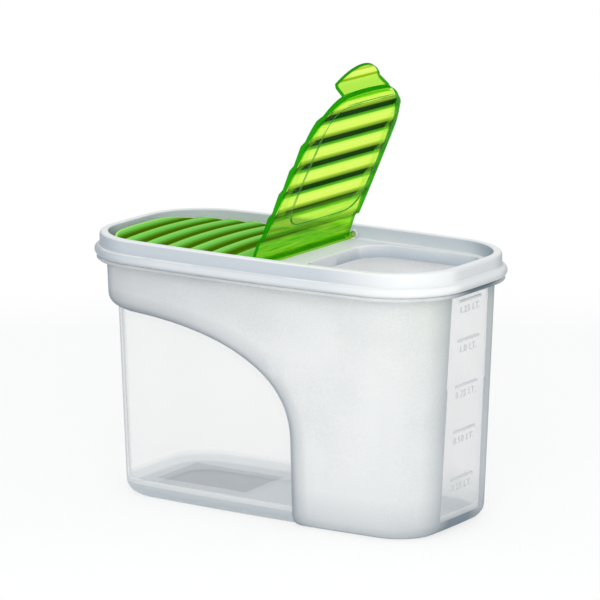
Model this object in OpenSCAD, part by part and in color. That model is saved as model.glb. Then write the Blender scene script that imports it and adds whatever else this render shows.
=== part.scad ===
// Cereal container with a flip spout.
// A drafted plastic tub with a grip recess at its back end, a lid frame that caps the tub's rim,
// a fixed ribbed panel over the rear half of the lid, and a ribbed pouring flap on two moulded pins.
// X runs along the container towards the pouring end, Z is up, and the origin is the centre of the base.

/* [Tub] */
// Outer length of the tub just under its rim flange
tub_top_length = 181; // [165:0.5:200]
// Outer width of the tub just under its rim flange
tub_top_width = 87.4; // [78:0.2:100]
// Corner radius of the tub at the top
tub_top_corner = 27; // [20:0.5:32]
// Outer length of the tub at its base
tub_base_length = 170.4; // [158:0.2:180]
// Outer width of the tub at its base
tub_base_width = 77; // [70:0.2:84]
// Corner radius of the tub at its base
tub_base_corner = 20; // [16:0.5:24]
// How far the long sides bulge at the rim
side_bow_top = 4.2; // [0:0.1:6]
// How far the long sides bulge at the base
side_bow_base = 2.6; // [0:0.1:4]
// How far the short ends bulge
end_bow = 1.4; // [0:0.1:3]
// Height of the tub from the base to the top of its lip
tub_height = 119.6; // [100:0.2:150]
// Thickness of the tub's walls
tub_wall = 1.3; // [0.9:0.1:2]
// Thickness of the tub's floor
tub_floor = 2.0; // [1.4:0.1:3]
// Outer radius where the walls turn into the base
base_round = 6.5; // [4.5:0.1:8]
// Radius of the inner corner round the floor
floor_round = 5.2; // [3.4:0.1:6.5]
// Height of the foot that runs round the underside
foot_height = 1.5; // [0.8:0.1:2.5]
// Distance from the tub's outline to the inside of the foot
foot_inset = 10; // [8.5:0.5:14]

/* [Tub rim] */
// How far the lip stands below its top when measured to the flange it rises from
lip_height = 8.7; // [6:0.1:12]
// Thickness of the lip that enters the lid
lip_wall = 0.9; // [0.7:0.05:1.1]
// How far the outer face of the lip stands out from the wall below
lip_step = 1.45; // [1.2:0.05:2]
// How far the flange stands out from the wall below
flange_width = 4.5; // [3.5:0.1:5]
// Thickness of the flange
flange_thick = 1.4; // [1:0.1:2]

/* [Grip recess] */
// Depth of the recess on the back end
grip_depth_end = 3.8; // [2:0.1:5]
// Depth of the recess on each long side
grip_depth_side = 3.8; // [2:0.1:4.4]
// Height of the recess at the back end
grip_top = 88.2; // [76:0.2:92]
// Height at which the recess stops curving and runs straight down
grip_straight = 38.2; // [20:0.2:50]
// How far past the middle of the tub the recess reaches
grip_reach = 20.3; // [0:0.2:35]
// Distance from the back end to where the recess's edge begins to fall
grip_start = 2.5; // [0:0.5:15]
// Fullness of the shoulder curve, where 2 is an ellipse
grip_fullness = 2.47; // [2:0.01:3]
// Width of the rounded shoulder round the recess
shoulder = 5.2; // [3:0.1:8]

/* [Fill marks] */
// Heights of the fill marks
mark_heights = [24.5, 46.2, 67.0, 87.6, 105.5];
// Length of each fill mark
mark_length = 18; // [10:0.5:24]
// Height of each fill mark's bar
mark_bar = 1.3; // [0.8:0.1:2]
// How far the fill marks stand out
mark_relief = 0.35; // [0.2:0.05:0.6]

/* [Lid frame] */
// Thickness of the lid's outer skirt
skirt_wall = 1.5; // [1:0.1:2]
// Thickness of the lid's inner wall
inner_wall = 1.2; // [1:0.1:1.8]
// Thickness of the lid over the lip
crest_thick = 1.6; // [1.2:0.1:2.4]
// Radius of the crest's outer edge
crest_round = 1.8; // [1:0.1:2.4]
// Radius of the half-round bead along the skirt's lower edge
bead_radius = 2.35; // [1.5:0.05:2.6]
// Depth of the deck below the crest
deck_drop = 6.3; // [5.6:0.1:8]
// Thickness of the deck
deck_thick = 1.3; // [1:0.1:2]
// Gap between the lip and the lid's channel
lid_gap = 0.25; // [0.15:0.05:0.5]

/* [Pouring opening] */
// Distance from the hinge to the near edge of the opening
spout_start = 16.7; // [15:0.1:22]
// Distance from the opening to the lid's inner wall at the pouring end
spout_end_margin = 6.5; // [6.4:0.1:12]
// Distance from the opening to the lid's inner wall along each side
spout_side_margin = 12; // [11:0.1:20]
// Corner radius of the opening
spout_corner = 12; // [9:0.5:16]
// Thickness of the lip round the opening
spout_wall = 1.3; // [1:0.1:2]
// Height of the lip above the deck
spout_rise = 1.7; // [1:0.1:2]
// Depth of the pouring skirt below the deck
spout_skirt = 2.6; // [1:0.1:3]

/* [Hinge] */
// Distance of the hinge from the middle of the lid
hinge_x = 2.3; // [-4:0.1:6]
// Height of the hinge above the deck
hinge_rise = 2.0; // [2:0.05:2.4]
// Radius of the barrel along the flap's edge
barrel_radius = 1.7; // [1.5:0.05:1.75]
// Gap between each end of the barrel and its boss
barrel_gap = 3.0; // [2:0.1:3.6]
// Radius of the two moulded pins
pin_radius = 1.4; // [1:0.05:1.45]
// Running gap round each pin
pin_gap = 0.06; // [0.03:0.01:0.1]
// Radius of the bosses that hold the pins
boss_radius = 2.3; // [2.2:0.1:3]
// Length of the bosses
boss_length = 1.2; // [1:0.1:2.5]
// Gap between each pin's end and the bottom of its socket
pin_end_gap = 0.3; // [0.1:0.05:0.4]
// How far each pin's socket goes into the inner wall
socket_depth = 0.6; // [0.3:0.05:0.8]
// Angle at which the flap stands open
open_angle = 64.4; // [0:0.1:100]

/* [Flap] */
// Gap between the flap's edge and the lid's inner wall
flap_gap = 3.9; // [3:0.1:4.4]
// Thickness of the flap
flap_thick = 1.4; // [1:0.1:1.8]
// Height of the middle of the flap above the hinge
flap_rise = 1.7; // [1.6:0.05:1.8]
// Width of the rim round the flap
flap_rim = 1.7; // [1.2:0.1:2.5]
// How far the rim reaches below the flap
flap_rim_drop = 0.5; // [0.2:0.05:0.5]
// How far the flap's free end bulges
flap_bow = 3.0; // [1:0.1:4]
// Distance from the hinge to the first rib
first_rib = 11.6; // [9:0.1:12]
// Distance from rib to rib on the flap
rib_pitch = 12.3; // [8:0.1:16]
// Height of the ribs' steps
rib_step = 0.9; // [0.3:0.05:1]
// Length of the steep side of each rib
rib_slope = 3; // [1.5:0.1:4]
// Gap between the plug ring and the inside of the opening
plug_gap = 0.35; // [0.25:0.05:1]
// Thickness of the plug ring
plug_wall = 1.3; // [1:0.1:1.8]
// How far the closed plug ring reaches down into the opening's lip
plug_depth = 1.8; // [1:0.1:3]

/* [Thumb tab] */
// Width of the tab at the start of its round tip
tab_width = 35; // [24:0.5:38]
// How much wider the tab is on each side where it leaves the flap
tab_flare = 2; // [0:0.1:4]
// Radius of the tab's round tip
tab_round = 23.2; // [20:0.2:30]
// How far the tab reaches past the crest's inner edge
tab_reach = 5.2; // [3:0.1:6]
// Height of the closed tab above the crest
tab_lift = 3.2; // [0.4:0.1:5]
// Length over which the tab rises from the flap
tab_ramp = 1.6; // [1.4:0.1:3]

/* [Ribbed panel] */
// Gap between the panel's edge and the lid's inner wall
panel_gap = 3.0; // [2:0.1:5]
// Distance from the hinge to the panel's straight edge
panel_clear = 4.8; // [4.6:0.1:7]
// Thickness of the panel
panel_thick = 1.4; // [1:0.1:2]
// Height of the panel's crown above the deck
panel_crown = 4.6; // [4:0.1:5.6]
// Radius of the panel's arch from side to side
panel_arch = 450; // [300:10:900]
// Distance from the hinge to the first rib of the panel
panel_first_rib = 29.3; // [20:0.1:32]
// Distance from rib to rib on the panel
panel_pitch = 12.2; // [8:0.1:16]

/* [Hidden] */

overlap = 0.4; // how far one solid of a piece sinks into the next
wall_tail = 0.8; // how far the lid's inner wall runs on under the deck
round_facets = 64; // on pins, sockets and bosses
mark_sink = 0.5; // how far the fill marks sink into the wall
seat_gap = 0.2; // between the lid's skirt and the flange under it
lip_play = 0.6; // between the top of the lip and the roof of its channel
crest_inner_round = 0.8; // on the crest's inner edge
tab_heel = 1.2; // from the foot of the tab's ramp to the flap's end
tab_ease = 0.8; // how far the ramp's steep part stops short of the tab's flat
spare = 1; // past an edge that another shape trims
arc_steps = 8; // facets in a plan corner
round_steps = 5; // facets in a small rounding

// Levels
flange_top = tub_height - lip_height;
flange_base = flange_top - flange_thick;
skirt_base = flange_top + seat_gap;
channel_top = tub_height + lip_play;
crest_z = channel_top + crest_thick;
deck_z = crest_z - deck_drop;
hinge_z = deck_z + hinge_rise;
spout_top = deck_z + spout_rise;

// Offsets from the tub's outline just under the flange; outwards is positive
lip_out = lip_step;
lip_in = lip_step - lip_wall;
skirt_in = lip_out + lid_gap;
skirt_out = skirt_in + skirt_wall;
channel_in = lip_in - lid_gap;
inner_face = channel_in - inner_wall;
flap_edge = inner_face - flap_gap;
panel_edge = inner_face - panel_gap;
spout_length = tub_top_length / 2 + inner_face - spout_end_margin - hinge_x - spout_start;
spout_width = tub_top_width + 2 * (inner_face - spout_side_margin);
// Half the width between the lid's inner walls at the hinge
hinge_wall = tub_top_width / 2 + inner_face - side_bow_top * pow(2 * hinge_x / tub_top_length, 2);

// Where points stand along the sides of plain outlines, as fractions of the straight stretch
even_sides = [for (i = [-4:4]) i / 5];
short_sides = [-0.5, 0, 0.5];

function mix(a, b, t) = a + (b - a) * t;

// A point of a rounded rectangle pushed in towards the corners, so that the sides stay bowed
function bowed(p, l, w, end, side) =
    let (x = 2 * p.x / l, y = 2 * p.y / w)
    [p.x - sign(x) * end * y * y * min(1, abs(x)), p.y - sign(y) * side * x * x * min(1, abs(y))];

// Outline of a rounded rectangle with bowed sides, counter-clockwise
function plan(l, w, r, end, side, along = even_sides) =
    let (a = l / 2 - r, b = w / 2 - r, n = arc_steps,
        corner = function(cx, cy, from)
            [for (i = [0:n]) [cx + r * cos(from + 90 * i / n), cy + r * sin(from + 90 * i / n)]],
        m = len(along) - 1, k = len(short_sides) - 1,
        raw = concat(corner(a, b, 0), [for (i = [m:-1:0]) [a * along[i], w / 2]],
            corner(-a, b, 90), [for (i = [k:-1:0]) [-l / 2, b * short_sides[i]]],
            corner(-a, -b, 180), [for (f = along) [a * f, -w / 2]],
            corner(a, -b, 270), [for (f = short_sides) [l / 2, b * f]]))
    [for (p = raw) bowed(p, l, w, end, side)];

// Outline of the rim and of the base, moved out by off
function rim_plan(off, along = even_sides, bow = end_bow) =
    plan(tub_top_length + 2 * off, tub_top_width + 2 * off, tub_top_corner + off,
        bow, side_bow_top, along);
function base_plan(off, along = even_sides) =
    plan(tub_base_length + 2 * off, tub_base_width + 2 * off, tub_base_corner + off,
        end_bow, side_bow_base, along);

// Edge of the grip recess in the side view: straight up, then a superellipse falling away from the back
recess_x = grip_start - tub_top_length / 2;
recess_run = grip_reach - recess_x;
recess_rise = grip_top - grip_straight;
function edge_x(z) =
    recess_x + recess_run * pow(1 - pow(max(z - grip_straight, 0) / recess_rise, grip_fullness),
        1 / grip_fullness);
function edge_z(x) =
    grip_straight + recess_rise * pow(1 - pow(max(x - recess_x, 0) / recess_run, grip_fullness),
        1 / grip_fullness);

// Share of the recess's full depth at a point of the side view: a quarter-round shoulder
function recess_share(x, z) =
    let (u = max(x - recess_x, 0), v = max(z - grip_straight, 0),
        f = pow(pow(u / recess_run, grip_fullness) + pow(v / recess_rise, grip_fullness), 1 / grip_fullness),
        d = f <= 1 ? 0 : (1 - 1 / f) * norm([u, v]) / shoulder)
    d >= 1 ? 0 : 1 - sqrt(1 - (1 - d) * (1 - d));

// The mesh of the wall follows that edge. Left of turn_x its rings sink with the edge, and under
// turn_z its columns lean with it, so that the shoulder always lies along a row of points.
turn_x = recess_x + 0.9 * recess_run;
turn_z = edge_z(turn_x);
column_start = 0.92 * (tub_top_corner - tub_top_length / 2); // just short of the back corner
shoulder_steps = [for (t = [-1.1, -0.25, 0, 0.15, 0.38, 0.68, 1]) t * shoulder];
back_columns = [for (i = [0:6]) mix(column_start, grip_reach + shoulder_steps[0], i / 7)];
front_columns = [for (i = [1:3]) mix(grip_reach + shoulder, -column_start, i / 3)];
columns = concat(back_columns, [for (d = shoulder_steps) grip_reach + d], front_columns);

// Columns at height z, as fractions of the straight side of the rim
function leaning(z) =
    let (shift = edge_x(min(z, turn_z)) - grip_reach, first = grip_reach + shoulder_steps[0],
        last = grip_reach + shoulder)
    [for (x = columns)
        let (share = x < first ? (x - column_start) / (first - column_start)
            : x > last ? (column_start + x) / (column_start + last) : 1)
        (x + share * shift) / (tub_top_length / 2 - tub_top_corner)];

// A ring of the drafted body that passes height back at the back end and height front elsewhere
function tub_ring(back, front, off) =
    let (along = leaning(front), low = base_plan(off, along), high = rim_plan(off, along),
        sink = (back - front) / (grip_top - turn_z))
    [for (i = [0:len(low) - 1])
        let (z = back - sink * (grip_top - edge_z(min(mix(low[i].x, high[i].x, back / flange_base), turn_x))),
            p = mix(low[i], high[i], min(z, flange_base) / flange_base),
            s = recess_share(p.x, z))
        [p.x + s * max(-p.x, 0) * grip_depth_end * 2 / tub_top_length,
            p.y * (1 - s * grip_depth_side * 2 / tub_top_width), z]];

function lifted(outline, z) = [for (p = outline) [p.x, p.y, z]];

// Skin over rings of equal length, listed from the bottom of the outside; its ends are capped,
// or joined to each other where the section is a closed loop. The quads of the front side are split
// the other way, so that on both sides their diagonals fall towards the pouring end.
module skin(rings, loop = false) {
    n = len(rings[0]);
    m = len(rings);
    last = loop ? m - 1 : m - 2;
    sides = [for (j = [0:last], i = [0:n - 1])
        let (k = (i + 1) % n, above = ((j + 1) % m) * n,
            a = j * n + i, b = j * n + k, c = above + i, d = above + k)
        each rings[0][i].y > 0 ? [[a, c, d], [a, d, b]] : [[a, c, b], [b, c, d]]];
    caps = loop ? [] : [[for (i = [0:n - 1]) i], [for (i = [n - 1:-1:0]) (m - 1) * n + i]];
    polyhedron([for (r = rings) each r], concat(sides, caps));
}

// Heights of the wall's rings at the back end and elsewhere
low_rings = [for (t = [0.5, 1]) [mix(base_round, grip_straight, t), mix(base_round, grip_straight, t)]];
lean_rings = [for (t = [0.25, 0.5, 0.75, 1])
    [mix(grip_straight, grip_top + shoulder_steps[0], t), mix(grip_straight, turn_z + shoulder_steps[0], t)]];
shoulder_rings = [for (i = [1:len(shoulder_steps) - 1])
    [grip_top + shoulder_steps[i], turn_z + shoulder_steps[i]]];
high_ring = [mix(grip_top + shoulder, flange_base, 0.5), mix(turn_z + shoulder, flange_base, 0.5)];
wall_rings = concat(low_rings, lean_rings, shoulder_rings, [high_ring]);

module tub() {
    foot = [tub_ring(foot_height, foot_height, -foot_inset), tub_ring(0, 0, -foot_inset)];
    base_in = [for (i = [0:round_steps])
        let (a = 90 * i / round_steps, z = base_round * (1 - cos(a)))
        tub_ring(z, z, base_round * (sin(a) - 1))];
    outside = [for (r = wall_rings) tub_ring(r[0], r[1], 0)];
    rim = function(off, z) lifted(rim_plan(off, leaning(flange_base)), z);
    top = [rim(0, flange_base), rim(flange_width, flange_base), rim(flange_width, flange_top),
        rim(lip_out, flange_top), rim(lip_out, tub_height), rim(lip_in, tub_height),
        rim(lip_in, flange_top), rim(-tub_wall, flange_top), rim(-tub_wall, flange_base)];
    inside = [for (i = [len(wall_rings) - 1:-1:0]) tub_ring(wall_rings[i][0], wall_rings[i][1], -tub_wall)];
    floor_in = [for (i = [0:round_steps])
        let (a = 90 * i / round_steps, z = foot_height + tub_floor + floor_round * (1 - sin(a)))
        tub_ring(z, z, -tub_wall - floor_round * (1 - cos(a)))];
    color([0.9, 0.92, 0.93]) {
        skin(concat(foot, base_in, outside, top, inside, floor_in));
        fill_marks();
    }
}

// Bars on the pouring end, each laid on the drafted wall
module fill_marks() {
    draft = atan((tub_top_length - tub_base_length) / 2 / flange_base);
    for (z = mark_heights)
        translate([mix(tub_base_length, tub_top_length, z / flange_base) / 2, 0, z])
            rotate([0, draft, 0])
                translate([-mark_sink, -mark_length / 2, -mark_bar / 2])
                    cube([mark_sink + mark_relief, mark_length, mark_bar]);
}

// Opening's outline moved out by off
module spout_shape(off) {
    translate([hinge_x + spout_start + spout_length / 2, 0])
        polygon(plan(spout_length + 2 * off, spout_width + 2 * off, spout_corner + off,
            end_bow / 2, end_bow / 2));
}

module lid_frame() {
    bead_z = skirt_base + bead_radius;
    bead = [for (i = [0:6]) let (a = -90 + 180 * i / 6)
        [skirt_out + bead_radius * cos(a), bead_z + bead_radius * sin(a)]];
    crest = [for (i = [0:round_steps]) let (a = 90 * i / round_steps)
        [skirt_out - crest_round * (1 - cos(a)), crest_z - crest_round * (1 - sin(a))]];
    section = concat([[skirt_in, skirt_base]], bead, crest,
        [[inner_face + crest_inner_round, crest_z], [inner_face, crest_z - crest_inner_round],
            [inner_face, deck_z - deck_thick - wall_tail], [channel_in, deck_z - deck_thick - wall_tail],
            [channel_in, channel_top], [skirt_in, channel_top]]);
    color([0.94, 0.95, 0.95])
        difference() {
            union() {
                skin([for (p = section) lifted(rim_plan(p.x), p.y)], loop = true);
                // Deck with its pouring lip and skirt
                translate([0, 0, deck_z - deck_thick])
                    linear_extrude(deck_thick) difference() {
                        polygon(rim_plan(inner_face + overlap));
                        spout_shape(0);
                    }
                translate([0, 0, deck_z - deck_thick - spout_skirt])
                    linear_extrude(spout_skirt + deck_thick + spout_rise) difference() {
                        spout_shape(spout_wall);
                        spout_shape(0);
                    }
                // Bosses that carry the flap's pins
                for (side = [-1, 1])
                    hinge_cylinder(side, hinge_wall - boss_length, hinge_wall + overlap, boss_radius);
            }
            for (side = [-1, 1])
                hinge_cylinder(side, hinge_wall - boss_length - overlap, hinge_wall + socket_depth,
                    pin_radius + pin_gap);
        }
}

// Cylinder about the hinge's axis between two distances from the middle of the lid
module hinge_cylinder(side, near, far, radius) {
    translate([hinge_x, side * (near + far) / 2, hinge_z])
        rotate([90, 0, 0])
            cylinder(r = radius, h = far - near, center = true, $fn = round_facets);
}

// Stepped section of a ribbed sheet from x0 to x1, with a rib's steep side centred at first + i * pitch.
// The sheet's middle lies at height mid, and dir is 1 where the steps climb away from x0.
function stepped(x0, x1, first, pitch, mid) =
    concat([[x0, mid - rib_step / 2]],
        [for (i = [0:floor((x1 - first - rib_slope / 2) / pitch)])
            let (x = first + i * pitch)
            each [[x - rib_slope / 2, mid + rib_step / 2], [x + rib_slope / 2, mid - rib_step / 2]]],
        [[x1, mid + rib_step / 2 * (((x1 - first) % pitch) / pitch)]]);
module ribbed_sheet(x0, x1, first, pitch, mid, thick) {
    line = stepped(x0, x1, first, pitch, mid);
    polygon(concat([for (p = line) [p.x, p.y + thick / 2]],
        [for (i = [len(line) - 1:-1:0]) [line[i].x, line[i].y - thick / 2]]));
}

module upright(length) {
    rotate([90, 0, 0])
        linear_extrude(length, center = true)
            children();
}

// Outline of the flap's free edge, moved out by off
function flap_plan(off) = rim_plan(flap_edge + off, bow = flap_bow);

// The flap is drawn closed, with the hinge at the origin, and then turned open
module flip_flap() {
    color([0.45, 0.8, 0.1])
        translate([hinge_x, 0, hinge_z])
            rotate([0, -open_angle, 0])
                closed_flap();
}

module closed_flap() {
    far = tub_top_length / 2 + flap_edge - hinge_x;
    half = tub_top_width / 2 + flap_edge;
    barrel_length = 2 * (hinge_wall - boss_length - barrel_gap);
    pin_end = hinge_wall + socket_depth - pin_end_gap;
    intersection() {
        union() {
            upright(2 * (half + spare))
                ribbed_sheet(0, far + spare, first_rib, rib_pitch, flap_rise, flap_thick);
            flap_rim();
        }
        translate([-hinge_x, 0, -spare])
            linear_extrude(flap_rise + flap_thick + rib_step + spare)
                intersection() {
                    polygon(flap_plan(0));
                    translate([hinge_x, -half])
                        square([far + spare, 2 * half]);
                }
    }
    rotate([90, 0, 0]) {
        cylinder(r = barrel_radius, h = barrel_length, center = true, $fn = round_facets);
        cylinder(r = pin_radius, h = 2 * pin_end, center = true, $fn = round_facets);
    }
    // Web between the barrel and the sheet
    translate([-barrel_radius / 2, -barrel_length / 2, 0])
        cube([barrel_radius, barrel_length, flap_rise]);
    plug_ring();
    thumb_tab(far);
}

// Rim that hangs down round the flap's free edge
module flap_rim() {
    depth = flap_thick / 2 + rib_step / 2 + flap_rim_drop;
    translate([-hinge_x, 0, flap_rise - depth])
        linear_extrude(depth)
            difference() {
                polygon(flap_plan(0));
                polygon(flap_plan(-flap_rim));
                translate([-tub_top_length, -tub_top_width])
                    square([tub_top_length + hinge_x + first_rib, 2 * tub_top_width]);
            }
}

// Ring under the flap that plugs the opening
module plug_ring() {
    low = spout_top - plug_depth - hinge_z;
    translate([-hinge_x, 0, low])
        linear_extrude(flap_rise - low)
            difference() {
                spout_shape(-plug_gap);
                spout_shape(-plug_gap - plug_wall);
            }
}

// Section of a bent strip: its middle line moved to both sides by half the thickness
function strip(line, thick) =
    let (last = len(line) - 1,
        way = [for (i = [1:last]) (line[i] - line[i - 1]) / norm(line[i] - line[i - 1])],
        side = [for (i = [0:last])
            let (a = way[max(i - 1, 0)], b = way[min(i, last - 1)], m = (a + b) / norm(a + b))
            [-m.y, m.x] * thick / 2 / (m * a)])
    concat([for (i = [0:last]) line[i] + side[i]], [for (i = [last:-1:0]) line[i] - side[i]]);

// Tab that steps over the crest of the lid; far is the end of the flap
module thumb_tab(far) {
    crest_x = tub_top_length / 2 + inner_face - hinge_x;
    over = crest_z + tab_lift - hinge_z + flap_thick / 2;
    tip = crest_x + tab_reach;
    start = far - 2 * flap_rim;
    foot = far - tab_heel;
    line = [[start, flap_rise], [foot, flap_rise], [foot + tab_ramp, over - tab_ease],
        [far + tab_ramp, over], [tip + spare, over]];
    intersection() {
        upright(2 * tab_width)
            polygon(strip(line, flap_thick));
        linear_extrude(over + flap_thick)
            polygon(tab_plan(start - spare, tip));
    }
}

// The tab's outline: sides that narrow away from the flap, then a round tip
function tab_plan(start, tip) =
    let (b = tab_width / 2, a = asin(b / tab_round), n = arc_steps)
    concat([[start, b + tab_flare], [start, -b - tab_flare]],
        [for (i = [-n:n]) [tip - tab_round * (1 - cos(a * i / n)), tab_round * sin(a * i / n)]]);

// Fixed panel: an arched ribbed shell standing on the deck on its own edge wall
module ribbed_panel() {
    x1 = hinge_x - panel_clear;
    axis_z = deck_z + panel_crown - panel_arch;
    half_angle = asin((tub_top_width / 2 + spare) / panel_arch);
    length = x1 + tub_top_length / 2 + spare;
    color([0.4, 0.8, 0.35])
        intersection() {
            translate([0, 0, deck_z])
                linear_extrude(panel_crown + spare)
                    panel_shape(0);
            union() {
                arched(x1, axis_z, half_angle)
                    translate([panel_arch, 0])
                        panel_section(length);
                difference() {
                    translate([0, 0, deck_z])
                        linear_extrude(panel_crown)
                            panel_shape(0);
                    translate([0, 0, deck_z - spare])
                        linear_extrude(panel_crown + 2 * spare)
                            panel_shape(-panel_thick);
                    arched(x1 + spare, axis_z, half_angle + spare)
                        translate([panel_arch - panel_thick / 2, 0])
                            square([panel_crown, length + 2 * spare]);
                }
            }
        }
}

// A section turned about the arch's axis; its own y runs from the panel's straight edge to the back
module arched(x, axis_z, half_angle) {
    translate([x, 0, axis_z])
        rotate([0, -90, 0])
            rotate([0, 0, -half_angle])
                rotate_extrude(angle = 2 * half_angle, $fn = 720)
                    children();
}

// Section of the panel's ribbed shell: radius along x, and distance from the straight edge along y
module panel_section(length) {
    first = panel_first_rib - panel_clear;
    rotate([0, 0, 90])
        mirror([0, 1])
            ribbed_sheet(0, length, first, panel_pitch, -(panel_thick + rib_step) / 2, panel_thick);
}

module panel_shape(off) {
    intersection() {
        polygon(rim_plan(panel_edge + off));
        translate([-tub_top_length, -tub_top_width])
            square([tub_top_length + hinge_x - panel_clear + off, 2 * tub_top_width]);
    }
}

tub();
lid_frame();
ribbed_panel();
flip_flap();
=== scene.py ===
from math import atan2, copysign, cos, hypot, pi, radians, sin, sqrt, tan

import bmesh
import bpy
from mathutils import Matrix, Vector


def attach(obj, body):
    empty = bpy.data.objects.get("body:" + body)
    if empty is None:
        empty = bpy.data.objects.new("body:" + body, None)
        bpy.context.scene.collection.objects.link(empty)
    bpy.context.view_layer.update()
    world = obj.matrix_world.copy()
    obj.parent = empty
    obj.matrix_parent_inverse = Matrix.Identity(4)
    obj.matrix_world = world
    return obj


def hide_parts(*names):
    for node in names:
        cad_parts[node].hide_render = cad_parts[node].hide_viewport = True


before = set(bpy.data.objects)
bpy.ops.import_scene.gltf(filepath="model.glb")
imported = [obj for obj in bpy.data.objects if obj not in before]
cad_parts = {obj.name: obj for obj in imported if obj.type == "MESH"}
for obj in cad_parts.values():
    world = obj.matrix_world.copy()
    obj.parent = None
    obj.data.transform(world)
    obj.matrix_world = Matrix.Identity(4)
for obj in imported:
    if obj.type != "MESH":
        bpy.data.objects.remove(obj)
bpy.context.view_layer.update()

mm = 0.001


def hexColor(text):
    parts = [int(text[i:i + 2], 16) / 255 for i in (1, 3, 5)]
    return [c / 12.92 if c <= 0.04045 else ((c + 0.055) / 1.055) ** 2.4 for c in parts] + [1.0]


def addNode(tree, kind, inputs=(), stops=(), **settings):
    # inputs by name or in order, each a value, a socket, or a node that gives its first live output
    node = tree.nodes.new(kind)
    for name, value in settings.items():
        setattr(node, name, value)
    for name, value in inputs.items() if isinstance(inputs, dict) else enumerate(inputs):
        if isinstance(value, bpy.types.Node):
            value = next(output for output in value.outputs if output.enabled)
        if isinstance(value, bpy.types.NodeSocket):
            tree.links.new(value, node.inputs[name])
        else:
            node.inputs[name].default_value = value
    for position, _ in stops[2:]:
        node.color_ramp.elements.new(position)
    for i, (position, color) in enumerate(stops):
        node.color_ramp.elements[i].position = position
        node.color_ramp.elements[i].color = hexColor(color)
    return node


def mix(a, b, t):
    return a + (b - a) * t


def clamped(value):
    return max(0.0, min(1.0, value))


def addObject(name, data):
    thing = bpy.data.objects.new(name, data)
    bpy.context.scene.collection.objects.link(thing)
    return thing


# camera: looking down the container from its pouring end, by the left side

view = dict(azimuth=33.44, elevation=12.23, roll=-0.08, distance=1988.1, lens=265.2, sensor=36.0,
            clipEnd=20.0, target=(0.543, 0.363, 94.09))


def addCamera():
    az, el = radians(view["azimuth"]), radians(view["elevation"])
    away = Vector((sin(az) * cos(el), -cos(az) * cos(el), sin(el)))
    camera = addObject("camera", bpy.data.cameras.new("camera"))
    camera.data.lens = view["lens"]
    camera.data.sensor_width = view["sensor"]
    camera.data.clip_end = view["clipEnd"]
    camera.matrix_world = (
        Matrix.Translation((Vector(view["target"]) + away * view["distance"]) * mm)
        @ away.to_track_quat("Z", "Y").to_matrix().to_4x4()
        @ Matrix.Rotation(radians(view["roll"]), 4, "Z"))
    bpy.context.scene.camera = camera


addCamera()
print("camera placed")

# outlines that the pieces share, in millimetres

tub = dict(topLength=181.0, topWidth=87.4, topCorner=27.0, baseLength=170.4, baseWidth=77.0,
           baseCorner=20.0, sideBowTop=4.2, sideBowBase=2.6, endBow=1.4, height=119.6, wall=1.3,
           floor=2.0, baseRound=6.5, floorRound=5.2, footHeight=1.5, footInset=10.0,
           lipHeight=8.7, lipWall=0.9, lipStep=1.45, flangeWidth=4.5, flangeThick=1.4,
           gripDepthEnd=3.8, gripDepthSide=3.8, gripTop=88.2, gripStraight=38.2, gripReach=20.3,
           gripStart=2.5, fullness=2.47, shoulder=5.2, strip=15.6, band=13.0)
flangeTop = tub["height"] - tub["lipHeight"]
flangeBase = flangeTop - tub["flangeThick"]


def bowed(x, y, length, width, endBow, sideBow):
    u, v = 2 * x / length, 2 * y / width
    return (x - copysign(endBow * v * v * min(1, abs(u)), x),
            y - copysign(sideBow * u * u * min(1, abs(v)), y))


def outline(length, width, corner, endBow, sideBow, along=None, across=None):
    # rounded rectangle with bowed sides, counter-clockwise from the pouring end
    along = along or [i / 14 for i in range(-13, 14)]
    across = across or [i / 6 for i in range(-5, 6)]
    a, b, arc = length / 2 - corner, width / 2 - corner, 20

    def turn(cx, cy, start):
        return [(cx + corner * cos(radians(start + 90 * i / arc)),
                 cy + corner * sin(radians(start + 90 * i / arc))) for i in range(arc + 1)]

    raw = turn(a, b, 0) + [(a * f, width / 2) for f in reversed(along)]
    raw += turn(-a, b, 90) + [(-length / 2, b * f) for f in reversed(across)]
    raw += turn(-a, -b, 180) + [(a * f, -width / 2) for f in along]
    raw += turn(a, -b, 270) + [(length / 2, b * f) for f in across]
    return [bowed(x, y, length, width, endBow, sideBow) for x, y in raw]


def rimOutline(off, along=None, across=None):
    return outline(tub["topLength"] + 2 * off, tub["topWidth"] + 2 * off, tub["topCorner"] + off,
                   tub["endBow"], tub["sideBowTop"], along, across)


def baseOutline(off, along=None, across=None):
    return outline(tub["baseLength"] + 2 * off, tub["baseWidth"] + 2 * off,
                   tub["baseCorner"] + off, tub["endBow"], tub["sideBowBase"], along, across)


def insideDistance(x, y, length, width, corner):
    # distance from a point to the edge of a rounded rectangle, positive inside
    qx, qy = abs(x) - length / 2 + corner, abs(y) - width / 2 + corner
    return corner - hypot(max(qx, 0), max(qy, 0)) - min(max(qx, qy), 0)


# building blocks

def meshFrom(name, points, faces, edges=()):
    mesh = bpy.data.meshes.new(name)
    mesh.from_pydata([[c * mm for c in p] for p in points], edges, faces)
    mesh.update()
    return mesh


def loopMesh(name, points):
    count = len(points)
    return meshFrom(name, points, [], [(i, (i + 1) % count) for i in range(count)])


def putValues(mesh, label, numbers):
    mesh.attributes.new(label, "FLOAT", "POINT").data.foreach_set("value", numbers)


def smoothBy(mesh, degrees):
    # smooth faces, with the edges sharper than the angle kept crisp
    bm = bmesh.new()
    bm.from_mesh(mesh)
    bmesh.ops.remove_doubles(bm, verts=bm.verts, dist=1e-6)
    bmesh.ops.recalc_face_normals(bm, faces=bm.faces)
    for face in bm.faces:
        face.smooth = True
    for edge in bm.edges:
        edge.smooth = len(edge.link_faces) != 2 or edge.calc_face_angle(0) < radians(degrees)
    bm.to_mesh(mesh)
    bm.free()


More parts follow.
